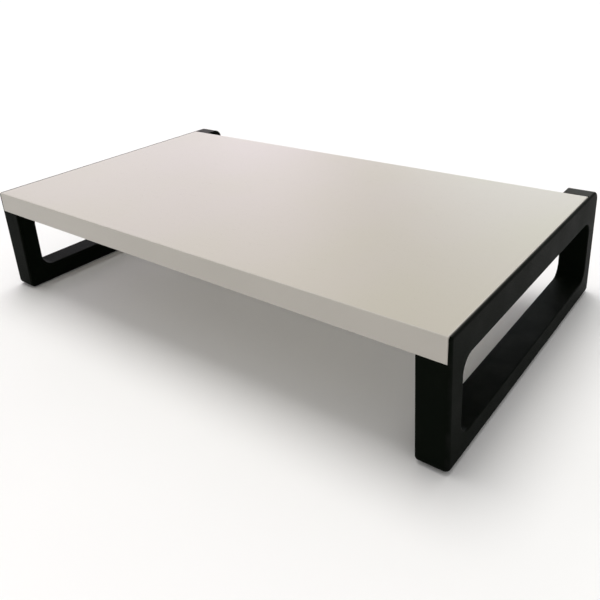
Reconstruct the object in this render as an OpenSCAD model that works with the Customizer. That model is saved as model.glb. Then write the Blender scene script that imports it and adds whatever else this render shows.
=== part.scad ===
// Fixed monitor riser: a white laminated board carried by two black moulded loop frames.
// Origin: middle of the footprint at the underside of the feet. +X right, +Y back, +Z up.

/* [Board] */
// Width of the board, left to right
board_w = 495; // [400:5:600]
// Depth of the board, front to back
board_d = 270; // [220:5:320]
// Thickness of the chipboard core
core_t = 18; // [16:1:25]
// Thickness of the laminate sheet on each face
laminate_t = 0.8; // [0.6:0.1:1.2]
// Thickness of the edge bands
band_t = 1.0; // [0.8:0.1:2.0]
// Radius of the eased long edges of the bands
band_edge_r = 0.8; // [0.2:0.1:0.8]

/* [Side frames] */
// Width of each frame, left to right, with its lip
frame_w = 24.5; // [22:0.5:34]
// Height of each frame without its feet
frame_h = 102; // [90:1:140]
// Thickness of the front and rear posts, front to back
post_t = 18; // [16:1:24]
// Height of the bottom rail
rail_h = 18; // [16:1:24]
// Thickness of the shelf under the board
shelf_t = 5; // [4:0.5:8]
// Depth of the block that closes the frame behind the board
rear_block_d = 23; // [20:1:32]
// Thickness of the lip beside the board
lip_t = 2.2; // [1.8:0.1:3]
// Gap between the board and the frame
board_gap = 0.3; // [0.1:0.1:0.5]
// Radius of the bottom corners
foot_corner_r = 5; // [3:1:10]
// Radius of the rear top corner
rear_top_r = 10; // [4:1:14]
// Radius of the front top corner
front_top_r = 2; // [1:0.5:4]
// Radius of the four corners of the window
window_r = 12; // [6:1:16]

/* [Moulding] */
// Wall thickness of the hollow moulding
wall_t = 2.5; // [2:0.1:3]
// Thickness of the cover that closes the inner face
cover_t = 2.5; // [2:0.1:3.5]
// Thickness of the stiffening ribs
rib_t = 1.6; // [1.2:0.1:2.4]
// Gap all round the cover
cover_gap = 0.15; // [0.1:0.05:0.3]
// Radius of the cover's pegs
peg_r = 1.95; // [1.5:0.05:2.2]
// Length of the cover's pegs
peg_len = 8; // [5:1:10]

/* [Fasteners and feet] */
// Length of the countersunk frame screws
screw_len = 14; // [12:1:16]
// Length of the threaded inserts in the board
insert_len = 10; // [8:1:12]
// Distance from the middle screw to each outer one
screw_pitch = 100; // [70:5:100]
// Length of each foot pad
foot_len = 40; // [24:2:60]
// Width of each foot pad
foot_w = 14; // [10:1:16]
// Thickness of each foot pad
foot_t = 2.2; // [1.8:0.1:3]
// Height of the foot pad below the frame
foot_proud = 1; // [0.6:0.1:1.4]

/* [Hidden] */
$fn = 64;

// The board
board_t = core_t + 2 * laminate_t;
frame_d = board_d + rear_block_d;
front_y = -frame_d / 2;
rear_y = frame_d / 2;
board_rear_y = front_y + board_d;
frame_z = foot_proud;
top_z = frame_z + frame_h;
board_z = top_z - board_t;

// The frame on the right; the left one is its mirror image
outer_x = board_w / 2 + board_gap + lip_t;
inner_x = outer_x - frame_w;
lip_x = outer_x - lip_t;
cover_x = inner_x + cover_t;
shelf_z = board_z - shelf_t;
window_y0 = front_y + post_t;
window_y1 = rear_y - post_t;
window_z0 = frame_z + rail_h;
block_y = board_rear_y + board_gap;
overlap = 1;

// Inside the moulding: the hollow ends level with the point where its wall round the window
// meets the wall in front of the rear block
wall_round_r = window_r + wall_t;
block_wall_y = block_y + wall_t;
block_wall_run = block_wall_y - (window_y1 - window_r);
hollow_top_z = shelf_z - window_r + sqrt(max(0, pow(wall_round_r, 2) - pow(block_wall_run, 2)));
boss_r = 3.4;
peg_fit = 0.08;
peg_hole_depth = peg_len + 0.6;
rail_mid_z = frame_z + rail_h / 2;
post_mid = post_t / 2;
peg_low_z = frame_z + 0.32 * frame_h;
peg_high_z = frame_z + 0.64 * frame_h;
peg_places = [
    [front_y + post_mid, peg_low_z], [front_y + post_mid, peg_high_z],
    [-frame_d * 0.23, rail_mid_z], [frame_d * 0.23, rail_mid_z],
    [rear_y - post_mid, peg_low_z], [rear_y - post_mid, peg_high_z]
];
rib_heights = [frame_z + 0.24 * frame_h, frame_z + 0.46 * frame_h, frame_z + 0.75 * frame_h];
rib_count = 7;

// Fasteners
screw_x = (inner_x + lip_x) / 2;
screw_ys = [-screw_pitch, 0, screw_pitch];
screw_r = 1.95;
screw_hole_r = 2.25;
head_r = 3.9;
head_hole_r = 4.2;
head_rim = 0.3;
head_sink = 0.2;
recess_len = 4.4;
recess_w = 0.9;
recess_depth = 1.5;
insert_r = 4;
insert_bore_r = 2;
insert_groove = 0.35;
insert_barbs = 4;
insert_fit = 0.05;

// Feet
foot_sink = foot_t - foot_proud;
foot_x = outer_x - frame_w / 2;
foot_inset = 32;
foot_fit = 0.2;

white = [0.90, 0.88, 0.86];
band_white = [0.87, 0.85, 0.82];
chipboard = [0.76, 0.62, 0.44];
black = [0.11, 0.12, 0.11];
cover_black = [0.14, 0.15, 0.14];
zinc = [0.72, 0.72, 0.70];
brass = [0.80, 0.66, 0.36];
rubber = [0.22, 0.22, 0.22];

// Extrudes a side view, drawn as (Y, Z), between two X positions
module across(x0, x1) {
    translate([x0, 0, 0])
        rotate([90, 0, 90])
            linear_extrude(height = x1 - x0)
                children();
}

// What a round corner of radius r leaves outside; dy and dz point into the shape
module corner_waste(y, z, dy, dz, r) {
    if (r > 0)
        translate([y, z])
            difference() {
                translate([min(0, dy * r), min(0, dz * r)])
                    square(r);
                translate([dy * r, dz * r])
                    circle(r);
            }
}

// Rectangle with its own radius at each corner: front low, rear low, rear high, front high
module rounded_rect(y0, y1, z0, z1, r) {
    difference() {
        translate([y0, z0])
            square([y1 - y0, z1 - z0]);
        corner_waste(y0, z0, 1, 1, r[0]);
        corner_waste(y1, z0, -1, 1, r[1]);
        corner_waste(y1, z1, -1, -1, r[2]);
        corner_waste(y0, z1, 1, -1, r[3]);
    }
}

module frame_outline() {
    rounded_rect(front_y, rear_y, frame_z, top_z,
        [foot_corner_r, foot_corner_r, rear_top_r, front_top_r]);
}

module window_outline(grow = 0) {
    rounded_rect(window_y0 - grow, window_y1 + grow, window_z0 - grow, shelf_z + grow,
        [for (i = [0:3]) window_r + grow]);
}

module frame_loop() {
    difference() {
        frame_outline();
        window_outline();
    }
}

// The space that the board takes above the shelf
module board_space() {
    translate([front_y - overlap, board_z])
        square([block_y - front_y + overlap, board_t + overlap]);
}

// The hollow of the moulding, and with a positive inset the cover that fits into it
module hollow_outline(inset = 0) {
    w = wall_t + inset;
    low_r = foot_corner_r - wall_t - inset;
    difference() {
        rounded_rect(front_y + w, rear_y - w, frame_z + w, top_z - w,
            [low_r, low_r, rear_top_r - w, 0.2]);
        window_outline(w);
        translate([front_y, hollow_top_z - inset])
            square([block_wall_y + inset - front_y, top_z - hollow_top_z + inset]);
    }
}

module ribs() {
    for (i = [1:rib_count])
        translate([front_y + i * frame_d / (rib_count + 1) - rib_t / 2, frame_z])
            square([rib_t, rail_h]);
    for (z = rib_heights, y = [front_y, rear_y - post_t])
        translate([y, z - rib_t / 2])
            square([post_t, rib_t]);
}

// Thicker floor above the pockets for the feet
module foot_floor() {
    for (s = [-1, 1])
        translate([s * (frame_d / 2 - foot_inset) - foot_len / 2 - wall_t, frame_z])
            square([foot_len + 2 * wall_t, wall_t + foot_sink]);
}

module peg_bosses() {
    for (p = peg_places)
        translate(p)
            circle(boss_r);
}

// A foot pad's outline seen from above
module foot_outline(y, grow = 0) {
    r = foot_w / 2 + grow;
    translate([foot_x - r, y - foot_len / 2 + foot_w / 2])
        square([2 * r, foot_len - foot_w]);
    for (s = [-1, 1])
        translate([foot_x, y + s * (foot_len - foot_w) / 2])
            circle(r);
}

// The moulded frame on the right, with its lip, shelf and rear block
module frame_shell() {
    difference() {
        union() {
            across(lip_x, outer_x)
                frame_loop();
            across(inner_x, lip_x)
                difference() {
                    frame_loop();
                    board_space();
                }
        }
        across(cover_x, lip_x)
            difference() {
                hollow_outline();
                ribs();
                foot_floor();
                peg_bosses();
            }
        across(inner_x - overlap, cover_x)
            hollow_outline();
        for (p = peg_places)
            translate([cover_x - overlap, p[0], p[1]])
                rotate([0, 90, 0])
                    cylinder(h = peg_hole_depth + overlap, r = peg_r + peg_fit);
        for (y = screw_ys)
            translate([screw_x, y, 0])
                screw_hole();
        for (s = [-1, 1])
            translate([0, 0, frame_z - overlap])
                linear_extrude(height = foot_sink + overlap)
                    foot_outline(s * (frame_d / 2 - foot_inset), foot_fit);
    }
}

module screw_hole() {
    translate([0, 0, shelf_z - overlap])
        cylinder(h = shelf_t + 2 * overlap, r = screw_hole_r);
    translate([0, 0, shelf_z - overlap])
        cylinder(h = overlap + head_sink, r = head_hole_r);
    translate([0, 0, shelf_z + head_sink])
        cylinder(h = head_hole_r - screw_hole_r, r1 = head_hole_r, r2 = screw_hole_r);
}

// The cover in the right frame's inner face, with its pegs
module frame_cover() {
    across(inner_x, cover_x)
        hollow_outline(cover_gap);
    for (p = peg_places)
        translate([cover_x - cover_t / 2, p[0], p[1]])
            rotate([0, 90, 0])
                cylinder(h = peg_len + cover_t / 2, r = peg_r);
}

// Countersunk screws, heads down, through the right frame's shelf
module frame_screws() {
    for (y = screw_ys)
        translate([screw_x, y, shelf_z + head_sink])
            difference() {
                union() {
                    cylinder(h = head_rim, r = head_r);
                    translate([0, 0, head_rim])
                        cylinder(h = head_r - screw_r, r1 = head_r, r2 = screw_r);
                    cylinder(h = screw_len, r = screw_r);
                }
                for (a = [0, 90])
                    rotate([0, 0, a])
                        translate([-recess_len / 2, -recess_w / 2, -overlap])
                            cube([recess_len, recess_w, recess_depth + overlap]);
            }
}

// Threaded inserts with barbs, pressed into the board from below
module board_inserts() {
    barb_h = insert_len / (2 * insert_barbs);
    for (y = screw_ys)
        translate([screw_x, y, board_z])
            difference() {
                union() {
                    cylinder(h = insert_len, r = insert_r - insert_groove);
                    for (i = [0:insert_barbs - 1])
                        translate([0, 0, 2 * i * barb_h])
                            cylinder(h = barb_h, r = insert_r);
                }
                translate([0, 0, -overlap])
                    cylinder(h = insert_len + 2 * overlap, r = insert_bore_r);
            }
}

module insert_holes() {
    for (x = [-screw_x, screw_x], y = screw_ys)
        translate([x, y, board_z - overlap])
            cylinder(h = insert_len + 0.5 + overlap, r = insert_r + insert_fit);
}

// A flat layer of the board, inside the edge bands
module board_layer(z, t) {
    translate([band_t - board_w / 2, front_y + band_t, z])
        cube([board_w - 2 * band_t, board_d - 2 * band_t, t]);
}

// Section of an edge band: the outer face at 0, the board behind it
module band_section() {
    rounded_rect(0, band_t, board_z, top_z, [band_edge_r, 0, 0, band_edge_r]);
}

module long_edge_band() {
    across(-board_w / 2, board_w / 2)
        band_section();
}

module short_edge_band() {
    length = board_d - 2 * band_t;
    rotate([0, 0, 90])
        across(-length / 2, length / 2)
            band_section();
}

module foot_pad(y) {
    linear_extrude(height = foot_t)
        foot_outline(y);
}

module board_core() {
    color(chipboard)
        difference() {
            board_layer(board_z + laminate_t, core_t);
            insert_holes();
        }
}

module top_laminate() {
    color(white)
        board_layer(top_z - laminate_t, laminate_t);
}

module underside_laminate() {
    color(white)
        difference() {
            board_layer(board_z, laminate_t);
            insert_holes();
        }
}

module front_edge_band() {
    color(band_white)
        translate([0, front_y, 0])
            long_edge_band();
}

module rear_edge_band() {
    color(band_white)
        translate([0, board_rear_y, 0])
            mirror([0, 1, 0])
                long_edge_band();
}

module right_edge_band() {
    color(band_white)
        translate([board_w / 2, front_y + board_d / 2, 0])
            short_edge_band();
}

module left_edge_band() {
    mirror([1, 0, 0])
        right_edge_band();
}

module right_board_inserts() {
    color(brass)
        board_inserts();
}

module left_board_inserts() {
    mirror([1, 0, 0])
        right_board_inserts();
}

module right_frame_shell() {
    color(black)
        frame_shell();
}

module left_frame_shell() {
    mirror([1, 0, 0])
        right_frame_shell();
}

module right_frame_cover() {
    color(cover_black)
        frame_cover();
}

module left_frame_cover() {
    mirror([1, 0, 0])
        right_frame_cover();
}

module right_frame_screws() {
    color(zinc)
        frame_screws();
}

module left_frame_screws() {
    mirror([1, 0, 0])
        right_frame_screws();
}

module front_right_foot() {
    color(rubber)
        foot_pad(foot_inset - frame_d / 2);
}

module rear_right_foot() {
    color(rubber)
        foot_pad(frame_d / 2 - foot_inset);
}

module front_left_foot() {
    mirror([1, 0, 0])
        front_right_foot();
}

module rear_left_foot() {
    mirror([1, 0, 0])
        rear_right_foot();
}

board_core();
top_laminate();
underside_laminate();
front_edge_band();
rear_edge_band();
left_edge_band();
right_edge_band();
left_board_inserts();
right_board_inserts();
left_frame_shell();
right_frame_shell();
left_frame_cover();
right_frame_cover();
left_frame_screws();
right_frame_screws();
front_left_foot();
front_right_foot();
rear_left_foot();
rear_right_foot();
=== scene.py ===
import math

import bmesh
import bpy
from mathutils import Matrix, Vector


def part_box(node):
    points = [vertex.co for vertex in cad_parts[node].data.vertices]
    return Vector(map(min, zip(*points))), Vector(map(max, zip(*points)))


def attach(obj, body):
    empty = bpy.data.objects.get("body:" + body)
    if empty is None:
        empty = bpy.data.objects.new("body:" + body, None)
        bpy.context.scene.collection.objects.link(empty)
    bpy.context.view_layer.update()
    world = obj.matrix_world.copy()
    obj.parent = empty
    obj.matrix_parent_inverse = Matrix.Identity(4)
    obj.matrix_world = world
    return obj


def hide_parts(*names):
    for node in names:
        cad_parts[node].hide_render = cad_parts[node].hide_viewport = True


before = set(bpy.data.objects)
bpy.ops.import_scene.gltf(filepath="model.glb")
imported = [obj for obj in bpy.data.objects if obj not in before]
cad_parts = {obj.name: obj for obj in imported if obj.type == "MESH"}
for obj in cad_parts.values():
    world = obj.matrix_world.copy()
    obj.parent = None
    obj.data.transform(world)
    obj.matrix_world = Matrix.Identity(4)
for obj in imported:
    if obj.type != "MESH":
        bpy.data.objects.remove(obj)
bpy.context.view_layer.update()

MM = 0.001
BODY = "root"

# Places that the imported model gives
shell_lo, shell_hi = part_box("right_frame_shell")
BOARD_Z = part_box("underside_laminate")[0].z
TOP_Z = shell_hi.z
FRAME_Z = shell_lo.z
FRONT_Y = shell_lo.y
REAR_Y = shell_hi.y
INNER_X = shell_lo.x
OUTER_X = shell_hi.x
BOARD_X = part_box("right_edge_band")[1].x
BOARD_REAR_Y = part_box("rear_edge_band")[1].y
BAND_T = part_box("front_edge_band")[1].y - FRONT_Y

# The frame's section, as in the CAD
POST_T = 18 * MM
RAIL_H = 18 * MM
SHELF_T = 5 * MM
LIP_T = 2.2 * MM
BOARD_GAP = 0.3 * MM
WALL_T = 2.5 * MM
COVER_T = 2.5 * MM
FOOT_CORNER_R = 5 * MM
REAR_TOP_R = 10 * MM
FRONT_TOP_R = 2 * MM
WINDOW_R = 12 * MM

# Softened edges that the CAD leaves sharp
OUTER_EDGE_R = 2.0 * MM
OUTER_FOOT_R = 3.8 * MM
INNER_EDGE_R = 0.6 * MM
INNER_FOOT_R = 2.0 * MM
WINDOW_EDGE_R = 1.2 * MM
RIM_EDGE_R = 0.2 * MM
FOOT_EDGE_R = 0.7 * MM

# A band's rounded edges: their radius as in the CAD, their wear against 1 for a fully rubbed edge, and the
# part of the radius that the wear covers
BAND_EDGE_R = 0.8 * MM
BAND_WEAR = 0.6
WORN_FROM = 0.05
WORN_TO = 0.95

# Screw holes and the fit of the feet, as in the CAD
HEAD_HOLE_R = 4.2 * MM
SCREW_HOLE_R = 2.25 * MM
HEAD_SINK = 0.2 * MM
FOOT_FIT = 0.2 * MM

# The sockets for the cover's pegs, as in the CAD: places as (y, z)
PEG_HOLE_R = 2.03 * MM
PEG_HOLE_DEPTH = 8.6 * MM
PEG_POST_YS = (FRONT_Y + POST_T / 2, REAR_Y - POST_T / 2)
PEG_POST_ZS = [FRAME_Z + part * (TOP_Z - FRAME_Z) for part in (0.32, 0.64)]
PEG_RAIL_Y = 0.23 * (REAR_Y - FRONT_Y)
PEG_PLACES = [(y, z) for y in PEG_POST_YS for z in PEG_POST_ZS]
PEG_PLACES += [(y, FRAME_Z + RAIL_H / 2) for y in (-PEG_RAIL_Y, PEG_RAIL_Y)]

# The shallow dish in a foot pad's underside
DISH_INSET = 2.0 * MM
DISH_SLOPE = 0.4 * MM
DISH_DEPTH = 0.25 * MM

# Mesh detail, and the angle from which an edge stays sharp
ARC_STEPS = 12
EDGE_STEPS = 5
RIM_STEPS = 3
HOLE_STEPS = 32
SHARP_ANGLE = math.radians(30)
MERGE_DISTANCE = 1e-6
DEGENERATE_EDGE = 1e-7

LIP_X = OUTER_X - LIP_T
SHELF_Z = BOARD_Z - SHELF_T
BLOCK_Y = BOARD_REAR_Y + BOARD_GAP

# The window's front, rear, lower and upper edges
WINDOW = (FRONT_Y + POST_T, REAR_Y - POST_T, FRAME_Z + RAIL_H, SHELF_Z)

# The points that start the flat stretches of the outlines below
ARC_POINTS = ARC_STEPS + 1
RAIL_UNDERSIDE = ARC_POINTS - 1
BLOCK_TOP = 3 * ARC_POINTS
SHELF_TOP = BLOCK_TOP + 1
WINDOW_TOP = 3 * ARC_POINTS - 1

screws_lo, screws_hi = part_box("right_frame_screws")
SCREW_X = (screws_lo.x + screws_hi.x) / 2
SCREW_R = (screws_hi.x - screws_lo.x) / 2
SCREW_YS = (screws_lo.y + SCREW_R, (screws_lo.y + screws_hi.y) / 2, screws_hi.y - SCREW_R)


# ---------------------------------------------------------------- outlines, as (y, z)

def arc(cy, cz, r, start, end, steps=ARC_STEPS):
    """Points on a circle about (cy, cz), from start to end degrees."""
    angles = [math.radians(start + (end - start) * i / steps) for i in range(steps + 1)]
    return [(cy + r * math.cos(a), cz + r * math.sin(a)) for a in angles]


def loop_outline(inset):
    """From the front low corner of a frame, under it and up its back, to the front of its rear block."""
    low, back = FOOT_CORNER_R, REAR_TOP_R
    points = arc(FRONT_Y + low, FRAME_Z + low, low - inset, 180, 270)
    points += arc(REAR_Y - low, FRAME_Z + low, low - inset, 270, 360)
    points += arc(REAR_Y - back, TOP_Z - back, back - inset, 0, 90)
    return points + [(BLOCK_Y + inset, TOP_Z - inset)]


def frame_outline(inset):
    """The whole side view of a frame, seen from the right, anticlockwise."""
    front = FRONT_TOP_R
    points = loop_outline(inset)
    points += arc(FRONT_Y + front, TOP_Z - front, front - inset, 90, 180)
    return points + [(FRONT_Y + inset, BOARD_Z - inset)]


def body_outline(inset):
    """The same without the room that the board takes above the shelf."""
    return loop_outline(inset) + [(BLOCK_Y + inset, BOARD_Z - inset), (FRONT_Y + inset, BOARD_Z - inset)]


def window_outline(grow):
    """The window's edge, moved outwards by grow."""
    y0, y1, z0, z1 = WINDOW
    r = WINDOW_R + grow
    c = WINDOW_R
    points = arc(y0 + c, z0 + c, r, 180, 270)
    points += arc(y1 - c, z0 + c, r, 270, 360)
    points += arc(y1 - c, z1 - c, r, 0, 90)
    points += arc(y0 + c, z1 - c, r, 90, 180)
    return points


def recess_outline(grow):
    """The edge of the recess for the cover: both posts, the bottom rail and the rear block."""
    wall = WALL_T - grow
    round_r = WINDOW_R + WALL_T
    block_y = BLOCK_Y + WALL_T
    cy0, cy1 = WINDOW[0] + WINDOW_R, WINDOW[1] - WINDOW_R
    cz0, cz1 = WINDOW[2] + WINDOW_R, WINDOW[3] - WINDOW_R
    rise = math.sqrt(max(0.0, round_r**2 - (block_y - cy1) ** 2))
    top_z = cz1 + rise + grow
    r = round_r - grow
    turn = math.degrees(math.asin((top_z - cz1) / r))
    low, back = FOOT_CORNER_R, REAR_TOP_R
    points = [(FRONT_Y + wall, top_z)]
    points += arc(FRONT_Y + low, FRAME_Z + low, low - wall, 180, 270)
    points += arc(REAR_Y - low, FRAME_Z + low, low - wall, 270, 360)
    points += arc(REAR_Y - back, TOP_Z - back, back - wall, 0, 90)
    points += [(block_y - grow, TOP_Z - wall)]
    points += arc(cy1, cz1, r, turn, 0)
    points += arc(cy1, cz0, r, 0, -90)
    points += arc(cy0, cz0, r, 270, 180)
    points += arc(cy0, cz1, r, 180, 180 - turn)
    return points


# ---------------------------------------------------------------- mesh building

class Builder:
    """Collects rings of vertices and the faces between them, with a wear value on each vertex."""

    def __init__(self):
        self.bm = bmesh.new()
        self.wear = self.bm.verts.layers.float.new("wear")

    def vert(self, co, wear=0.0):
        v = self.bm.verts.new(co)
        v[self.wear] = wear
        return v

    def ring(self, x, outline, wear=0.0):
        return [self.vert((x, y, z), wear) for y, z in outline]

    def bridge(self, a, b, holed=None):
        """Faces between two rings. holed maps a face's first point to the loops of the holes in it."""
        holed = holed or {}
        for i in range(len(a)):
            j = (i + 1) % len(a)
            loop = [a[i], a[j], b[j], b[i]]
            if i in holed:
                self.fill([loop, *holed[i]])
            else:
                self.face(loop)

    def chain(self, rings):
        """Faces from each ring to the next."""
        for a, b in zip(rings, rings[1:]):
            self.bridge(a, b)

    def face(self, verts):
        """A face through the verts, each taken once."""
        distinct = []
        for v in verts:
            if v not in distinct:
                distinct.append(v)
        if len(distinct) > 2:
            self.bm.faces.new(distinct)

    def fill(self, loops):
        """A flat face inside the first loop, with the other loops as holes."""
        edges = []
        for loop in loops:
            for a, b in zip(loop, loop[1:] + loop[:1]):
                edges.append(self.bm.edges.get((a, b)) or self.bm.edges.new((a, b)))
        bmesh.ops.triangle_fill(self.bm, use_beauty=True, use_dissolve=True, edges=edges)

    def finish(self, name, side=1):
        """The mesh object, with its faces outwards. side -1 mirrors it to the left."""
        bm = self.bm
        bmesh.ops.remove_doubles(bm, verts=bm.verts, dist=MERGE_DISTANCE)
        bmesh.ops.dissolve_degenerate(bm, dist=DEGENERATE_EDGE, edges=bm.edges)
        if side < 0:
            bmesh.ops.transform(bm, matrix=Matrix.Scale(-1, 4, (1, 0, 0)), verts=bm.verts)
        bmesh.ops.recalc_face_normals(bm, faces=bm.faces)
        if bm.calc_volume(signed=True) < 0:
            bmesh.ops.reverse_faces(bm, faces=bm.faces)
        mesh = bpy.data.meshes.new(name)
        bm.to_mesh(mesh)
        bm.free()
        for p in mesh.polygons:
            p.use_smooth = True
        mesh.set_sharp_from_angle(angle=SHARP_ANGLE)
        piece = bpy.data.objects.new(name, mesh)
        bpy.context.scene.collection.objects.link(piece)
        weighted = piece.modifiers.new("weighted", "WEIGHTED_NORMAL")
        weighted.keep_sharp = True
        return piece


def edge_profile(r, steps=EDGE_STEPS):
    """A quarter round from a face to a wall: (depth below the face, inset from the wall, wear)."""
    rows = []
    for i in range(steps + 1):
        a = math.radians(90 * i / steps)
        rows.append((r * (1 - math.cos(a)), r * (1 - math.sin(a)), math.sin(2 * a)))
    return rows


# ---------------------------------------------------------------- pieces

def softened(z, r, foot_r):
    """An edge radius that grows from r at the top of a frame to foot_r at its underside."""
    return foot_r + (r - foot_r) * (z - FRAME_Z) / (TOP_Z - FRAME_Z)


def soft_edge(b, face_x, inward, outline, r, foot_r):
    """Rings of a quarter round from a frame's flat face to its walls; inward is the way into the solid."""
    rings = []
    for depth, inset, wear in edge_profile(1.0):
        ring = []
        for (y, z), (in_y, in_z) in zip(outline(0), outline(r)):
            here = softened(z, r, foot_r)
            move = inset * here / r
            at = (face_x + inward * depth * here, y + (in_y - y) * move, z + (in_z - z) * move)
            ring.append(b.vert(at, wear))
        rings.append(ring)
    return rings


def circle(cx, cy, r):
    """The outline of a round hole in its own plane."""
    angles = [2 * math.pi * i / HOLE_STEPS for i in range(HOLE_STEPS)]
    return [(cx + r * math.cos(a), cy + r * math.sin(a)) for a in angles]


def screw_hole(b, y):
    """A countersunk hole through the shelf; gives its loops in the shelf's underside and top."""
    levels = [
        (HEAD_HOLE_R, SHELF_Z),
        (HEAD_HOLE_R, SHELF_Z + HEAD_SINK),
        (SCREW_HOLE_R, SHELF_Z + HEAD_SINK + HEAD_HOLE_R - SCREW_HOLE_R),
        (SCREW_HOLE_R, BOARD_Z),
    ]
    rings = [[b.vert((x, cy, z)) for x, cy in circle(SCREW_X, y, r)] for r, z in levels]
    b.chain(rings)
    return rings[0], rings[-1]


def stadium(node, inset):
    """A foot pad's outline seen from above, as (x, y), with inset taken off all round."""
    lo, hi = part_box(node)
    cx = (lo.x + hi.x) / 2
    cy = (lo.y + hi.y) / 2
    width = hi.x - lo.x
    half = (hi.y - lo.y - width) / 2
    r = width / 2 - inset
    points = []
    for end in (0, 1):
        for i in range(ARC_STEPS + 1):
            a = math.pi * (end + i / ARC_STEPS)
            points.append((cx + r * math.cos(a), cy + (half if end == 0 else -half) + r * math.sin(a)))
    return points


def foot_pocket(b, node):
    """A shallow pocket for a foot pad; gives its loop in the rail's underside."""
    pocket_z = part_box(node)[1].z
    rings = [[b.vert((x, y, z)) for x, y in stadium(node, -FOOT_FIT)] for z in (FRAME_Z, pocket_z)]
    b.chain(rings)
    b.fill([rings[1]])
    return rings[0]


def shell_walls(b, pockets, hole_tops):
    """The walls round the outside up to the lip; gives the inner rim and the ring at the lip."""
    rings = soft_edge(b, INNER_X, 1, body_outline, INNER_EDGE_R, INNER_FOOT_R)
    at_lip = []
    for y, z in body_outline(0):
        reach = softened(z, OUTER_EDGE_R, OUTER_FOOT_R) + RIM_EDGE_R
        at_lip.append(b.vert((min(LIP_X, OUTER_X - reach), y, z)))
    b.chain(rings)
    b.bridge(rings[-1], at_lip, {RAIL_UNDERSIDE: pockets, SHELF_TOP: hole_tops})
    return rings[0], at_lip


def shell_lip(b, at_lip):
    """The lip, from the same vertices except where it rises past the shelf; gives the outer rim."""
    front_arc = [b.vert((LIP_X, y, z)) for y, z in frame_outline(0)[BLOCK_TOP + 1:-1]]
    lip_start = at_lip[:BLOCK_TOP + 1] + front_arc + [at_lip[-1]]
    b.face([at_lip[BLOCK_TOP]] + front_arc + [at_lip[-1], at_lip[-2]])
    edge = soft_edge(b, OUTER_X, -1, frame_outline, OUTER_EDGE_R, OUTER_FOOT_R)
    rings = [lip_start] + edge[::-1]
    b.chain(rings)
    return rings[-1]


def shell_window(b, hole_mouths):
    """The window's walls between two rounded edges; gives its loops in the inner and outer faces."""
    profile = edge_profile(WINDOW_EDGE_R)
    inner = [b.ring(INNER_X + depth, window_outline(inset), wear) for depth, inset, wear in profile]
    outer = [b.ring(OUTER_X - depth, window_outline(inset), wear) for depth, inset, wear in profile[::-1]]
    b.chain(inner)
    b.bridge(inner[-1], outer[0], {WINDOW_TOP: hole_mouths})
    b.chain(outer)
    return inner[0], outer[-1]


def peg_socket(b, y, z):
    """A blind hole for one of the cover's pegs; gives its loop in the recess's floor."""
    floor_x = INNER_X + COVER_T
    outline = circle(y, z, PEG_HOLE_R)
    rings = [b.ring(x, outline) for x in (floor_x, floor_x + PEG_HOLE_DEPTH)]
    b.chain(rings)
    b.fill([rings[1]])
    return rings[0]


def shell_recess(b):
    """The recess that the cover sits in, with the sockets for its pegs; gives its rim."""
    rings = []
    for depth, inset, wear in edge_profile(RIM_EDGE_R, RIM_STEPS):
        rings.append(b.ring(INNER_X + depth, recess_outline(inset), wear))
    rings.append(b.ring(INNER_X + COVER_T, recess_outline(0)))
    b.chain(rings)
    b.fill([rings[-1], *[peg_socket(b, y, z) for y, z in PEG_PLACES]])
    return rings[0]


def frame_shell(name, side):
    """A moulding with the recess for its cover. Behind the cover it is filled, where the CAD is hollow."""
    b = Builder()
    holes = [screw_hole(b, y) for y in SCREW_YS]
    pockets = [foot_pocket(b, f"{end}_right_foot") for end in ("front", "rear")]
    inner_rim, at_lip = shell_walls(b, pockets, [top for mouth, top in holes])
    outer_rim = shell_lip(b, at_lip)
    inner_window, outer_window = shell_window(b, [mouth for mouth, top in holes])
    recess_rim = shell_recess(b)
    b.fill([outer_rim, outer_window])
    b.fill([inner_rim, inner_window, recess_rim])
    return b.finish(name, side)


def band_section():
    """An edge band's section as (distance behind its outer face, z, wear), with worn outer corners."""
    r = BAND_EDGE_R
    points = arc(r, BOARD_Z + r, r, 270, 180, EDGE_STEPS) + arc(r, TOP_Z - r, r, 180, 90, EDGE_STEPS)
    rows = [(d, z, BAND_WEAR if WORN_FROM < d / r < WORN_TO else 0.0) for d, z in points]
    return rows + [(BAND_T, TOP_Z, 0.0), (BAND_T, BOARD_Z, 0.0)]


def edge_band(name, place, length, ease):
    """A band along X with its outer face at y = 0, moved by place; ease rounds its two upright ends."""
    stations = [(-length / 2, 0.0)]
    if ease:
        turns = [math.radians(90 * i / EDGE_STEPS) for i in range(EDGE_STEPS + 1)]
        stations = [(-length / 2 + ease * (1 - math.cos(t)), ease * (1 - math.sin(t))) for t in turns]
    stations += [(-x, back) for x, back in reversed(stations)]
    b = Builder()
    rings = []
    for x, back in stations:
        room = (BAND_T - back) / BAND_T
        rings.append([b.vert((x, back + d * room, z), wear) for d, z, wear in band_section()])
    b.chain(rings)
    b.face(rings[0])
    b.face(rings[-1][::-1])
    piece = b.finish(name)
    piece.data.transform(place)
    return piece


def foot_pad(name, node):
    """An anti-slip pad with a rounded lower edge and a shallow dish in its underside."""
    lo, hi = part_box(node)
    b = Builder()
    levels = [(0.0, hi.z, 0.0)]
    for depth, inset, wear in reversed(edge_profile(FOOT_EDGE_R)):
        levels.append((inset, lo.z + depth, wear))
    levels.append((DISH_INSET, lo.z, 0.0))
    levels.append((DISH_INSET + DISH_SLOPE, lo.z + DISH_DEPTH, 0.0))
    rings = [[b.vert((x, y, z), wear) for x, y in stadium(node, inset)] for inset, z, wear in levels]
    b.chain(rings)
    b.fill([rings[0]])
    b.fill([rings[-1]])
    return b.finish(name)


# ---------------------------------------------------------------- materials

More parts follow.
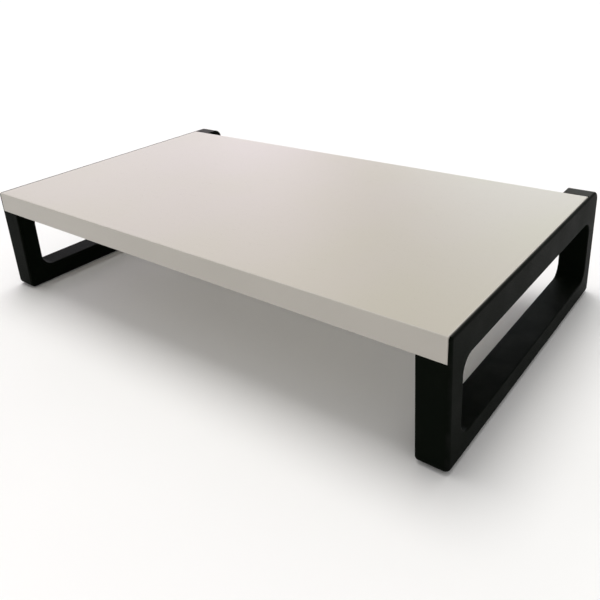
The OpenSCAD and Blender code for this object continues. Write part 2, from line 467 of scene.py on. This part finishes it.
# Colours, as (red, green, blue) in linear light
LAMINATE_WHITE = (0.472, 0.438, 0.386)
LAMINATE_YELLOW = (0.464, 0.438, 0.366)
LAMINATE_SPECK = (0.40, 0.37, 0.34)
BAND_WHITE = (0.480, 0.456, 0.410)
BAND_PALE = (0.505, 0.478, 0.430)
BAND_WORN = (0.60, 0.57, 0.52)
PLASTIC_DARK = (0.0013, 0.0026, 0.0012)
PLASTIC_BLACK = (0.0022, 0.0036, 0.0020)
PLASTIC_RUBBED = (0.0060, 0.0064, 0.0056)
# The dust colour, which also paints the sheen on the frame's top faces
PLASTIC_DUST_AND_SHEEN = (0.034, 0.034, 0.030)
RUBBER_BLACK = (0.018, 0.018, 0.018)
RUBBER_DUST = (0.060, 0.058, 0.054)
CHIP_DARK = (0.50, 0.36, 0.20)
CHIP_PALE = (0.70, 0.56, 0.36)
CHIP_RESIN = (0.32, 0.20, 0.10)
STEEL_PALE = (0.62, 0.62, 0.60)
STEEL_DARK = (0.48, 0.48, 0.47)
BRASS_PALE = (0.72, 0.52, 0.25)
BRASS_DARK = (0.58, 0.40, 0.18)
FLOOR_SHADE = (0.915, 0.915, 0.91)
FLOOR_WHITE = (0.94, 0.94, 0.935)

# Most of a noise's values lie between these
NOISE_LOW = 0.3
NOISE_HIGH = 0.7

# How nearly level a face is, as its normal's height, for the dust and the painted sheen to start and to be
# full
LEVEL_START = 0.90
LEVEL_FULL = 0.99

# How far the trimming marks are drawn out along a band, as the scale along it
BAND_STRETCH = 0.04


class Shader:
    """A material's node tree, with short calls for the nodes that are used over and over."""

    def __init__(self, name):
        self.material = bpy.data.materials.new(name)
        self.material.use_nodes = True
        self.tree = self.material.node_tree
        self.bsdf = next(n for n in self.tree.nodes if n.type == "BSDF_PRINCIPLED")
        self.place = self.node("ShaderNodeTexCoord").outputs["Object"]

    def node(self, kind, **values):
        """A new node with its settings."""
        n = self.tree.nodes.new(kind)
        for key, value in values.items():
            setattr(n, key, value)
        return n

    def link(self, source, target):
        self.tree.links.new(source, target)

    def stretched(self, scale):
        """The place on the piece, scaled along each axis."""
        n = self.node("ShaderNodeMapping")
        n.inputs["Scale"].default_value = scale
        self.link(self.place, n.inputs["Vector"])
        return n.outputs["Vector"]

    def noise(self, scale, detail=3.0, roughness=0.5, vector=None):
        """Noise from 0 to 1; scale is in features per metre."""
        n = self.node("ShaderNodeTexNoise")
        n.inputs["Scale"].default_value = scale
        n.inputs["Detail"].default_value = detail
        n.inputs["Roughness"].default_value = roughness
        self.link(vector or self.place, n.inputs["Vector"])
        return n.outputs["Fac"]

    def cells(self, scale, vector=None):
        """Distance to the nearest of many scattered points."""
        n = self.node("ShaderNodeTexVoronoi")
        n.inputs["Scale"].default_value = scale
        self.link(vector or self.place, n.inputs["Vector"])
        return n.outputs["Distance"]

    def spread(self, value, from_lo, from_hi, to_lo, to_hi):
        """The value moved from one range to another, without leaving it."""
        n = self.node("ShaderNodeMapRange", clamp=True)
        n.inputs["From Min"].default_value = from_lo
        n.inputs["From Max"].default_value = from_hi
        n.inputs["To Min"].default_value = to_lo
        n.inputs["To Max"].default_value = to_hi
        self.link(value, n.inputs["Value"])
        return n.outputs["Result"]

    def noisy(self, noise, to_lo, to_hi):
        """A noise moved to the range from to_lo to to_hi."""
        return self.spread(noise, NOISE_LOW, NOISE_HIGH, to_lo, to_hi)

    def math(self, operation, a, b):
        """The operation on two values, which are numbers or outputs."""
        n = self.node("ShaderNodeMath", operation=operation)
        for socket, x in zip(n.inputs, (a, b)):
            if isinstance(x, (int, float)):
                socket.default_value = x
            else:
                self.link(x, socket)
        return n.outputs["Value"]

    def mix(self, factor, a, b):
        """Colour a where factor is 0 and b where it is 1."""
        n = self.node("ShaderNodeMix", data_type="RGBA")
        self.link(factor, n.inputs["Factor"])
        for socket, x in zip((n.inputs[6], n.inputs[7]), (a, b)):
            if isinstance(x, tuple):
                socket.default_value = (*x, 1.0)
            else:
                self.link(x, socket)
        return n.outputs[2]

    def upward(self):
        """1 on level faces that look up, where dust settles and where the frame's top faces get their
        painted sheen.
        """
        split = self.node("ShaderNodeSeparateXYZ")
        self.link(self.node("ShaderNodeNewGeometry").outputs["Normal"], split.inputs[0])
        return self.spread(split.outputs["Z"], LEVEL_START, LEVEL_FULL, 0.0, 1.0)

    def height(self):
        """The height above the desk, in metres."""
        split = self.node("ShaderNodeSeparateXYZ")
        self.link(self.place, split.inputs[0])
        return split.outputs["Z"]

    def wear(self):
        """The wear that the mesh holds at its vertices."""
        return self.node("ShaderNodeAttribute", attribute_name="wear").outputs["Fac"]

    def bump(self, height, distance, strength=1.0, after=None):
        """A normal that follows a height, with distance in metres; after is a coarser bump below it."""
        n = self.node("ShaderNodeBump")
        n.inputs["Strength"].default_value = strength
        n.inputs["Distance"].default_value = distance
        self.link(height, n.inputs["Height"])
        if after is not None:
            self.link(after, n.inputs["Normal"])
        return n.outputs["Normal"]

    def finish(self, colour, roughness, normal=None, metallic=0.0, specular=0.5):
        """The material, with these outputs and numbers on its surface."""
        inputs = self.bsdf.inputs
        self.link(colour, inputs["Base Color"])
        self.link(roughness, inputs["Roughness"])
        inputs["Metallic"].default_value = metallic
        inputs["Specular IOR Level"].default_value = specular
        if normal is not None:
            self.link(normal, inputs["Normal"])
        return self.material


def white_laminate():
    """Satin laminate: a warm white with slow tint changes, a fine pearl texture and faint scuffs."""
    s = Shader("white_laminate")
    tint = s.mix(s.spread(s.noise(7, 2), 0.35, 0.65, 0, 1), LAMINATE_WHITE, LAMINATE_YELLOW)
    specks = s.spread(s.cells(26), 0.0, 0.012, 1, 0)
    sparse = s.spread(s.noise(19, 1), 0.60, 0.64, 0, 1)
    tint = s.mix(s.math("MULTIPLY", specks, sparse), tint, LAMINATE_SPECK)
    pearl = s.noise(1400, 3, 0.6)
    scuffs = s.noise(60, 4, 0.6, s.stretched((1.0, 5.0, 1.0)))
    roughness = s.math("ADD", s.noisy(scuffs, 0.284, 0.300), s.noisy(pearl, -0.02, 0.02))
    waves = s.bump(s.noise(30, 2), 0.01 * MM)
    return s.finish(tint, roughness, s.bump(pearl, 0.01 * MM, 0.3, waves), specular=0.25)


def white_edge_band(name, stretch):
    """Satin edge band: a slightly paler white with worn edges and trimming marks along its length."""
    s = Shader(name)
    marks = s.noise(900, 4, 0.6, s.stretched(stretch))
    tint = s.mix(s.noisy(s.noise(14, 3), 0, 1), BAND_WHITE, BAND_PALE)
    worn = s.math("MULTIPLY", s.wear(), s.spread(s.noise(220, 3), 0.45, 0.7, 0, 0.6))
    tint = s.mix(worn, tint, BAND_WORN)
    return s.finish(tint, s.noisy(marks, 0.32, 0.46), s.bump(marks, 0.02 * MM, 0.7), specular=0.45)


def frame_plastic(name):
    """Satin black moulded plastic: a fine grain, cloudy gloss, rubbed edges, dust on level faces, and a
    painted sheen that lightens the frame's top faces.
    """
    s = Shader(name)
    grain = s.noise(2600, 3, 0.6)
    cloud = s.noise(24, 3)
    tint = s.mix(s.noisy(cloud, 0, 1), PLASTIC_DARK, PLASTIC_BLACK)
    rubbed = s.math("MULTIPLY", s.wear(), s.spread(s.noise(150, 4, 0.6), 0.40, 0.70, 0.1, 1.0))
    tint = s.mix(rubbed, tint, PLASTIC_RUBBED)
    patches = s.math("MULTIPLY", s.upward(), s.spread(s.noise(36, 3), 0.46, 0.70, 0.0, 0.18))
    # Painted sheen and dust: the level faces at the top of the frame, above 95 mm, take the full dust
    # colour, which lightens them as a reflection would
    top_sheen_and_dust = s.math("MULTIPLY", s.upward(), s.spread(s.height(), 0.095, 0.103, 0.0, 1.0))
    tint = s.mix(s.math("MAXIMUM", patches, top_sheen_and_dust), tint, PLASTIC_DUST_AND_SHEEN)
    roughness = s.math("ADD", s.noisy(cloud, 0.46, 0.56), s.noisy(grain, -0.04, 0.04))
    roughness = s.math("SUBTRACT", roughness, s.math("MULTIPLY", rubbed, 0.06))
    return s.finish(tint, roughness, s.bump(grain, 0.10 * MM), specular=0.018)


def foot_rubber():
    """Matt black rubber with a fine cast grain and dusty patches."""
    s = Shader("foot_rubber")
    grain = s.noise(1800, 4, 0.7)
    tint = s.mix(s.spread(s.noise(120, 3), 0.5, 0.75, 0, 0.7), RUBBER_BLACK, RUBBER_DUST)
    return s.finish(tint, s.noisy(grain, 0.78, 0.95), s.bump(grain, 0.06 * MM), specular=0.3)


def chipboard():
    """Chipboard: pale and dark chips pressed together, with darker resin between them."""
    s = Shader("chipboard")
    chips = s.cells(420, s.stretched((1.0, 1.0, 2.5)))
    tint = s.mix(s.spread(chips, 0.1, 0.6, 0, 1), CHIP_DARK, CHIP_PALE)
    tint = s.mix(s.spread(s.noise(300, 4, 0.7), 0.45, 0.7, 0, 0.8), tint, CHIP_RESIN)
    return s.finish(tint, s.spread(chips, 0, 0.6, 0.75, 0.95), s.bump(chips, 0.2 * MM), specular=0.2)


def turned_metal(name, pale, dark, smooth, dull):
    """Plated metal with fine turning marks, and a roughness that goes from smooth to dull in patches."""
    s = Shader(name)
    marks = s.noise(5200, 2, 0.5, s.stretched((0.3, 0.3, 1.0)))
    patches = s.noise(700, 3, 0.6)
    tint = s.mix(s.spread(patches, 0.35, 0.65, 0, 1), pale, dark)
    roughness = s.math("ADD", s.noisy(patches, smooth, dull), s.noisy(marks, -0.05, 0.05))
    return s.finish(tint, roughness, s.bump(marks, 0.02 * MM), metallic=1.0)


def studio_floor_material():
    """A plain pale floor with an almost unseen grain."""
    s = Shader("studio_floor")
    tint = s.mix(s.noisy(s.noise(3, 3), 0, 1), FLOOR_SHADE, FLOOR_WHITE)
    return s.finish(tint, s.noisy(s.noise(40, 3), 0.75, 0.85), specular=0.1)


def dress(piece, material):
    """Gives every face of a piece this one material."""
    piece.data.materials.clear()
    piece.data.materials.append(material)


# ---------------------------------------------------------------- the object

def place_piece(piece, material, node):
    """A built piece that takes the place of a CAD node."""
    dress(piece, material)
    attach(piece, BODY)
    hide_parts(node)


def build_frames():
    """The two mouldings with their covers, screws and feet."""
    shell_material = frame_plastic("frame_plastic")
    cover_material = frame_plastic("cover_plastic")
    steel = turned_metal("screw_steel", STEEL_PALE, STEEL_DARK, 0.28, 0.42)
    rubber = foot_rubber()
    for side_name, side in (("left", -1), ("right", 1)):
        node = f"{side_name}_frame_shell"
        place_piece(frame_shell(f"{side_name}_frame_moulding", side), shell_material, node)
        dress(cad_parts[f"{side_name}_frame_cover"], cover_material)
        dress(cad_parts[f"{side_name}_frame_screws"], steel)
        for end in ("front", "rear"):
            node = f"{end}_{side_name}_foot"
            place_piece(foot_pad(f"{end}_{side_name}_foot_pad", node), rubber, node)


def build_bands():
    """The four edge bands; the long ones round the board's corners and the short ones fit between them."""
    band_x = white_edge_band("edge_band_long", (BAND_STRETCH, 1.0, 1.0))
    band_y = white_edge_band("edge_band_short", (1.0, BAND_STRETCH, 1.0))
    width = 2 * BOARD_X
    short = BOARD_REAR_Y - FRONT_Y - 2 * BAND_T
    middle_y = (FRONT_Y + BOARD_REAR_Y) / 2
    bands = [
        ("front", band_x, 0, (0, FRONT_Y, 0), width, BAND_EDGE_R),
        ("rear", band_x, 180, (0, BOARD_REAR_Y, 0), width, BAND_EDGE_R),
        ("right", band_y, 90, (BOARD_X, middle_y, 0), short, 0.0),
        ("left", band_y, -90, (-BOARD_X, middle_y, 0), short, 0.0),
    ]
    for name, material, turn, middle, length, ease in bands:
        place = Matrix.Translation(middle) @ Matrix.Rotation(math.radians(turn), 4, "Z")
        piece = edge_band(f"{name}_band", place, length, ease)
        place_piece(piece, material, f"{name}_edge_band")


def build_board():
    """The board's sheets, core and inserts, which stay as CAD nodes, and its edge bands."""
    laminate = white_laminate()
    for node in ("top_laminate", "underside_laminate"):
        dress(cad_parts[node], laminate)
    dress(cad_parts["board_core"], chipboard())
    brass = turned_metal("insert_brass", BRASS_PALE, BRASS_DARK, 0.25, 0.40)
    for side in ("left", "right"):
        dress(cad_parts[f"{side}_board_inserts"], brass)
    build_bands()


# ---------------------------------------------------------------- the studio

CAMERA_PLACE = Vector((0.3933, -0.4523, 0.3155))
CAMERA_YAW = 38.27
CAMERA_PITCH = 21.52
CAMERA_ROLL = -2.98
CAMERA_LENS = 39.88
CAMERA_SENSOR = 36
CAMERA_SHIFT = (-0.0208, -0.146)
CAMERA_NEAR = 0.01
CAMERA_FAR = 50

# The floor's half width, in metres
FLOOR_HALF = 8.0

# The sun: the direction towards it, its width in degrees, its strength and its colour
SUN_TOWARD = Vector((-0.35, 0.25, 1.5))
SUN_WIDTH = 40
SUN_STRENGTH = 1.75
SUN_COLOUR = (1.0, 0.985, 0.97)

# The surroundings' own light, the glow above the horizon, and soft windows: degrees right of +Y, degrees
# up, degrees from the middle to the edge and to full light, colour
SKY_COLOUR = (0.50, 0.4925, 0.4875)
HORIZON_GLOW = (0.46, 0.46, 0.46)
HORIZON_HEIGHT = 14
WINDOWS = [
    (-54, 23, 23, 8, (1.47, 1.32, 1.55)),
    (-36, 10, 14, 4, (1.0, 0.85, 1.05)),
    (-12, 14, 22, 6, (1.7, 1.9, 1.95)),
]


def build_camera():
    """The photograph's viewpoint: yaw turns left from +Y, pitch looks down, roll tips the frame."""
    yaw, pitch, roll = (math.radians(a) for a in (CAMERA_YAW, CAMERA_PITCH, CAMERA_ROLL))
    forward = Vector((-math.sin(yaw) * math.cos(pitch), math.cos(yaw) * math.cos(pitch), -math.sin(pitch)))
    level = Vector((math.cos(yaw), math.sin(yaw), 0))
    upright = level.cross(forward)
    right = level * math.cos(roll) + upright * math.sin(roll)
    up = upright * math.cos(roll) - level * math.sin(roll)
    camera = bpy.data.objects.new("camera", bpy.data.cameras.new("camera"))
    bpy.context.scene.collection.objects.link(camera)
    turn = Matrix((right, up, -forward)).transposed()
    camera.matrix_world = Matrix.Translation(CAMERA_PLACE) @ turn.to_4x4()
    camera.data.sensor_width = CAMERA_SENSOR
    camera.data.lens = CAMERA_LENS
    camera.data.shift_x = CAMERA_SHIFT[0]
    camera.data.shift_y = CAMERA_SHIFT[1]
    camera.data.clip_start = CAMERA_NEAR
    camera.data.clip_end = CAMERA_FAR
    bpy.context.scene.camera = camera


def sun_light():
    """An even soft light over the whole floor, which leaves no glint on the pieces."""
    data = bpy.data.lights.new("overhead", "SUN")
    data.energy = SUN_STRENGTH
    data.angle = math.radians(SUN_WIDTH)
    data.color = SUN_COLOUR
    light = bpy.data.objects.new("overhead", data)
    light.visible_glossy = False
    light.rotation_mode = "QUATERNION"
    light.rotation_quaternion = (-SUN_TOWARD).to_track_quat("-Z", "Y")
    bpy.context.scene.collection.objects.link(light)


def add_glow(tree, total, place, toward, edge, full, colour):
    """The world's colour so far and a soft light round a direction; edge and full are cosines."""
    dot = tree.nodes.new("ShaderNodeVectorMath")
    dot.operation = "DOT_PRODUCT"
    dot.inputs[1].default_value = toward
    tree.links.new(place, dot.inputs[0])
    glow = tree.nodes.new("ShaderNodeMapRange")
    glow.interpolation_type = "SMOOTHSTEP"
    glow.inputs["From Min"].default_value = edge
    glow.inputs["From Max"].default_value = full
    tree.links.new(dot.outputs["Value"], glow.inputs["Value"])
    add = tree.nodes.new("ShaderNodeVectorMath")
    add.operation = "MULTIPLY_ADD"
    tree.links.new(glow.outputs["Result"], add.inputs[0])
    add.inputs[1].default_value = colour
    tree.links.new(total, add.inputs[2])
    return add.outputs["Vector"]


def studio_world():
    """Even white surroundings, lighter above the horizon, with the soft windows of WINDOWS added."""
    world = bpy.data.worlds.new("studio")
    world.use_nodes = True
    tree = world.node_tree
    place = tree.nodes.new("ShaderNodeTexCoord").outputs["Generated"]
    total = tree.nodes.new("ShaderNodeRGB").outputs["Color"]
    total.default_value = (*SKY_COLOUR, 1)
    height = math.sin(math.radians(HORIZON_HEIGHT))
    total = add_glow(tree, total, place, (0, 0, -1), -height, 0, HORIZON_GLOW)
    for *angles, colour in WINDOWS:
        around, up, edge, full = (math.radians(a) for a in angles)
        toward = (math.sin(around) * math.cos(up), math.cos(around) * math.cos(up), math.sin(up))
        total = add_glow(tree, total, place, toward, math.cos(edge), math.cos(full), colour)
    tree.links.new(total, tree.nodes["Background"].inputs["Color"])
    return world


def build_floor():
    """A floor that reaches far past the object on all sides."""
    bm = bmesh.new()
    bmesh.ops.create_grid(bm, x_segments=1, y_segments=1, size=FLOOR_HALF)
    mesh = bpy.data.meshes.new("floor")
    bm.to_mesh(mesh)
    bm.free()
    floor = bpy.data.objects.new("floor", mesh)
    bpy.context.scene.collection.objects.link(floor)
    dress(floor, studio_floor_material())


def build_studio():
    """The floor, the light and a plain view of the colours."""
    build_floor()
    bpy.context.scene.world = studio_world()
    sun_light()
    bpy.context.scene.view_settings.view_transform = "Standard"
    bpy.context.scene.view_settings.look = "None"


build_camera()
build_board()
build_frames()
build_studio()
